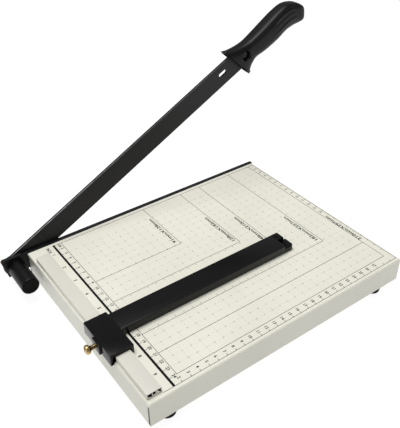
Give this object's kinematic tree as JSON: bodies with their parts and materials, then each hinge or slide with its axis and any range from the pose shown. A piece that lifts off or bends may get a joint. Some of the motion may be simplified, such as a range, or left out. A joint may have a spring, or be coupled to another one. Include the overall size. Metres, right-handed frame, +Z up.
{
  "type": "paper cutter",
  "caption": "Desk paper trimmer: steel board with a hinged guillotine blade arm along the back edge and a sliding paper guide clamped on a side rail.",
  "frame": {"origin": "on the table plane under the middle of the board", "axes": "+X along the cut from the pivot end to the handle end, +Y from the front edge to the cut, +Z up"},
  "size_m": [0.4243, 0.267, 0.2368],
  "materials": {
    "cream_enamel": "semi-gloss baked enamel",
    "rail_enamel": "satin enamel",
    "black_enamel": "satin black baked enamel",
    "black_anodised": "matte black anodised",
    "black_moulded": "fine-textured moulded plastic",
    "black_rubber": "matte",
    "zinc_steel": "bright zinc plate",
    "turned_brass": "turned, lightly polished"
  },
  "bodies": {
    "base": {"base_shell": "cream_enamel", "stiffener_ribs": "zinc_steel", "rib_rivets": "zinc_steel", "feet": "black_rubber", "foot_screws": "zinc_steel", "fence_rail": "rail_enamel", "rail_screws": "zinc_steel", "bed_knife": "black_enamel", "knife_screws": "zinc_steel", "pivot_bolt": "zinc_steel", "pivot_rear_washer": "zinc_steel", "pivot_spring": "zinc_steel", "pivot_spring_washer": "zinc_steel", "pivot_nut": "zinc_steel", "pivot_cap": "black_moulded"},
    "arm": {"blade_arm": "black_enamel", "handle": "black_moulded", "handle_screw": "zinc_steel", "handle_nut": "zinc_steel"},
    "guide": {"guide_head": "black_moulded", "guide_bar": "black_anodised", "guide_end_cap": "black_moulded", "bar_screws": "zinc_steel", "clamp_nut": "turned_brass"},
    "thumb": {"thumb_screw": "turned_brass"}
  },
  "joints": [
    {"name": "arm_hinge", "type": "hinge", "parent": "base", "child": "arm", "pos_m": [-0.174, 0.1245, 0.0238], "axis": [0, -1, 0], "range_deg": [-23.2, 48]},
    {"name": "guide_slide", "type": "slide", "parent": "base", "child": "guide", "axis": [0, 1, 0], "range_m": [-0.05, 0.115]},
    {"name": "thumb_turn", "type": "hinge", "parent": "guide", "child": "thumb", "pos_m": [-0.165, -0.0415, 0.0382], "axis": [1, 0, 0], "range_deg": [0, 180]}
  ]
}
